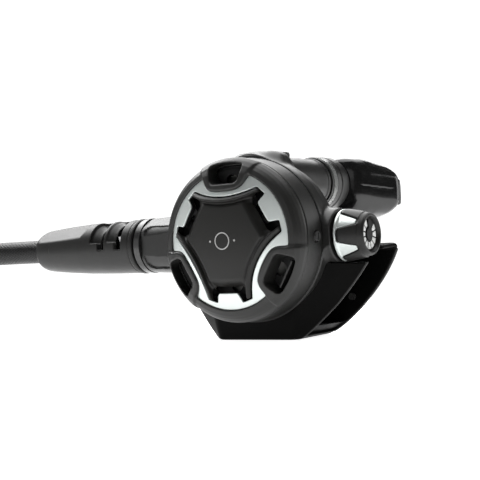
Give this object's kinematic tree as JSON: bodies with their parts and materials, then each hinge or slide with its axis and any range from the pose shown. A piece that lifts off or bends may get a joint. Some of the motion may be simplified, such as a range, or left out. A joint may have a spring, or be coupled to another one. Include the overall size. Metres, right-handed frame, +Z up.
{
  "type": "scuba regulator second stage with hose",
  "caption": "Second-stage diving regulator: round case with three-window cover and purge button, mouthpiece, side-vented exhaust tee, adjusting knob and coiled low-pressure hose.",
  "frame": {"origin": "on the flat underside of the exhaust tee, straight below the valve axis and the cover's axis", "axes": "+X along the valve axis towards the adjusting knob, +Y towards the mouthpiece, +Z up"},
  "size_m": [0.4256, 0.1483, 0.0827],
  "materials": {
    "case_plastic": "fine moulded satin black",
    "cover_plastic": "fine moulded matte black",
    "bezel_silver": "satin silver",
    "pin_grey": "satin dark grey",
    "inner_plastic": "plain moulded",
    "button_rubber": "soft-touch matte",
    "silicone_clear": "translucent silicone",
    "white_plastic": "low-friction white",
    "chromed_brass": "chromed",
    "spring_steel": "drawn wire",
    "nitrile": "satin black",
    "brass": "turned",
    "knob_rubber": "matte overmould",
    "dial_face": "printed",
    "tee_plastic": "fine moulded satin black",
    "mouth_silicone": "glossy black silicone",
    "tie_clear": "clear moulded strap",
    "protector_rubber": "satin soft rubber",
    "hose_braid": "fine woven braid"
  },
  "bodies": {
    "regulator": {"case_shell": "case_plastic", "front_cover": "cover_plastic", "cover_bezel": "bezel_silver", "cover_ring": "cover_plastic", "cover_lock_pin": "pin_grey", "inner_grille": "inner_plastic", "purge_spring": "spring_steel", "diaphragm": "silicone_clear", "diaphragm_ring": "inner_plastic", "valve_barrel": "chromed_brass", "barrel_orings": "nitrile", "orifice": "brass", "orifice_oring": "nitrile", "poppet_spring": "spring_steel", "knob_clip": "spring_steel", "bypass_tube": "inner_plastic", "exhaust_valve": "silicone_clear", "exhaust_tee": "tee_plastic", "tee_pegs": "pin_grey", "mouthpiece": "mouth_silicone", "mouthpiece_tie": "tie_clear", "hose_stem": "chromed_brass", "stem_oring": "nitrile", "hose_ferrule": "chromed_brass", "hose_tube": "hose_braid", "hose_coil": "hose_braid", "far_ferrule": "chromed_brass", "first_stage_fitting": "chromed_brass", "fitting_oring": "nitrile"},
    "purge": {"purge_button": "button_rubber", "purge_plate": "inner_plastic"},
    "diaphragm_centre": {"diaphragm_disc": "white_plastic"},
    "lever": {"demand_lever": "spring_steel"},
    "poppet": {"poppet": "white_plastic", "poppet_seat": "nitrile", "poppet_nut": "chromed_brass"},
    "knob": {"knob_core": "inner_plastic", "knob_trim": "bezel_silver", "knob_grip": "knob_rubber", "knob_dial": "dial_face"},
    "adjuster": {"adjust_plunger": "white_plastic", "plunger_oring": "nitrile", "adjust_screw": "chromed_brass"},
    "nut": {"hose_nut": "chromed_brass"},
    "protector": {"hose_protector": "protector_rubber"}
  },
  "joints": [
    {"name": "purge_press", "type": "slide", "parent": "regulator", "child": "purge", "axis": [0, 1, 0], "range_m": [0, 0.0035], "stiffness_N_per_m": 1500, "springref_m": -0.001, "deforming": ["purge_spring"]},
    {"name": "diaphragm_travel", "type": "slide", "parent": "regulator", "child": "diaphragm_centre", "axis": [0, 1, 0], "range_m": [0, 0.0035], "deforming": ["diaphragm"]},
    {"name": "lever_pivot", "type": "hinge", "parent": "regulator", "child": "lever", "pos_m": [0.014, -0.0075, 0.043], "axis": [0, 0, 1], "range_deg": [-14.5, 0]},
    {"name": "poppet_travel", "type": "slide", "parent": "regulator", "child": "poppet", "axis": [1, 0, 0], "range_m": [0, 0.00212], "deforming": ["poppet_spring"]},
    {"name": "knob_turn", "type": "hinge", "parent": "regulator", "child": "knob", "pos_m": [0, 0, 0.043], "axis": [1, 0, 0], "range_deg": [0, 270]},
    {"name": "adjuster_feed", "type": "slide", "parent": "knob", "child": "adjuster", "axis": [-1, 0, 0], "range_m": [0, 0.00152]},
    {"name": "nut_spin", "type": "hinge", "parent": "regulator", "child": "nut", "pos_m": [-0.07, 0, 0.043], "axis": [1, 0, 0], "continuous": true},
    {"name": "protector_slide", "type": "slide", "parent": "regulator", "child": "protector", "axis": [-1, 0, 0], "range_m": [0, 0.02]}
  ],
  "couplings": [
    {"joint": "diaphragm_travel", "follows": "purge_press", "ratio": 1},
    {"joint": "lever_pivot", "follows": "purge_press", "rad_per_m": -71.4},
    {"joint": "poppet_travel", "follows": "purge_press", "ratio": 0.6},
    {"joint": "adjuster_feed", "follows": "knob_turn", "m_per_rad": 0.0003183}
  ]
}
